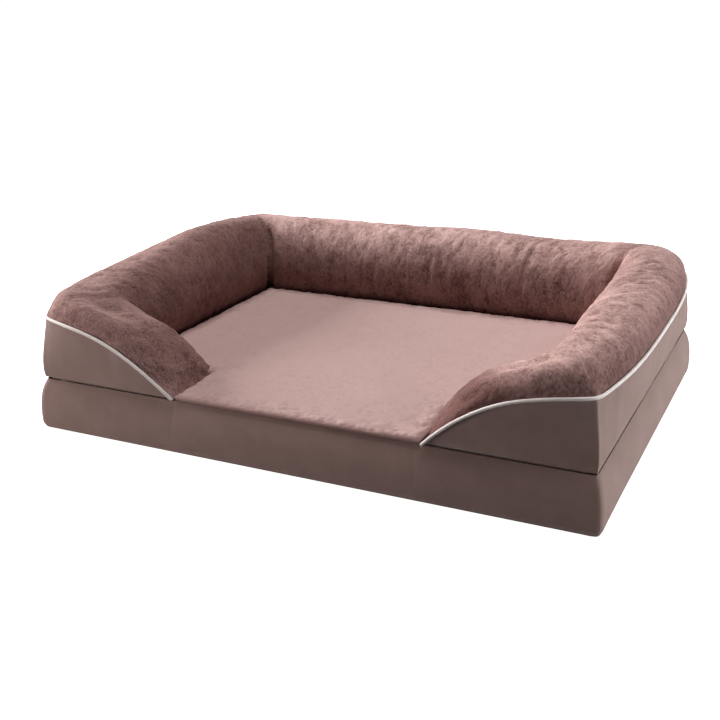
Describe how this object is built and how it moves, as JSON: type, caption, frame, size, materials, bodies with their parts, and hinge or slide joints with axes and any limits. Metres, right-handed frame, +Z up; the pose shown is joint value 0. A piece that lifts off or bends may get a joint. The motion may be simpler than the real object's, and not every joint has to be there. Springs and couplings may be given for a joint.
{
  "type": "pet cushion bed",
  "caption": "Rectangular pet bed: foam base under a U-shaped stuffed plush bolster that tapers down to a front entrance, with piped edges and a zipped back band.",
  "frame": {"origin": "centre of the footprint at the floor", "axes": "+X to the bed's right seen from the front, +Y to the back, +Z up"},
  "size_m": [0.8294, 0.6054, 0.216],
  "materials": {
    "bolster_plush": "curly teddy pile",
    "sleep_plush": "short smooth plush",
    "woven": "fine suede-like weave",
    "piping": "woven bias binding over cord",
    "lining": "plain woven lining",
    "bottom_fabric": "woven, with small grip dots",
    "foam": "open-cell polyurethane foam",
    "fibre": "loose polyester fibre",
    "zip_tape": "herringbone woven tape",
    "zip_teeth": "nylon coil",
    "zip_metal": "satin plated zinc"
  },
  "bodies": {
    "root": {"bottom_panel": "bottom_fabric", "foam_mattress": "foam", "sleeping_panel": "sleep_plush", "bolster_deck": "lining", "right_band": "woven", "left_band": "woven", "front_band_left": "woven", "front_band_right": "woven", "front_band_centre": "woven", "back_band": "woven", "piping": "piping", "zip_teeth_upper": "zip_teeth", "zip_teeth_lower": "zip_teeth", "zip_tape_upper": "zip_tape", "zip_tape_lower": "zip_tape", "zip_stop_closed": "zip_metal", "zip_stop_open": "zip_metal", "front_right_wall": "woven", "front_right_plush": "bolster_plush", "front_right_fill": "fibre", "right_wall": "woven", "right_plush": "bolster_plush", "right_fill": "fibre", "back_wall": "woven", "back_plush": "bolster_plush", "back_fill": "fibre", "left_wall": "woven", "left_plush": "bolster_plush", "left_fill": "fibre", "front_left_wall": "woven", "front_left_plush": "bolster_plush", "front_left_fill": "fibre"},
    "slider": {"zip_slider": "zip_metal"},
    "pull": {"zip_pull": "zip_metal"}
  },
  "joints": [
    {"name": "zip_slide", "type": "slide", "parent": "root", "child": "slider", "axis": [1, 0, 0], "range_m": [0, 0.612]},
    {"name": "pull_swing", "type": "hinge", "parent": "slider", "child": "pull", "pos_m": [-0.306, 0.29171, 0.037], "axis": [0, 0, 1], "range_deg": [0, 175]}
  ]
}
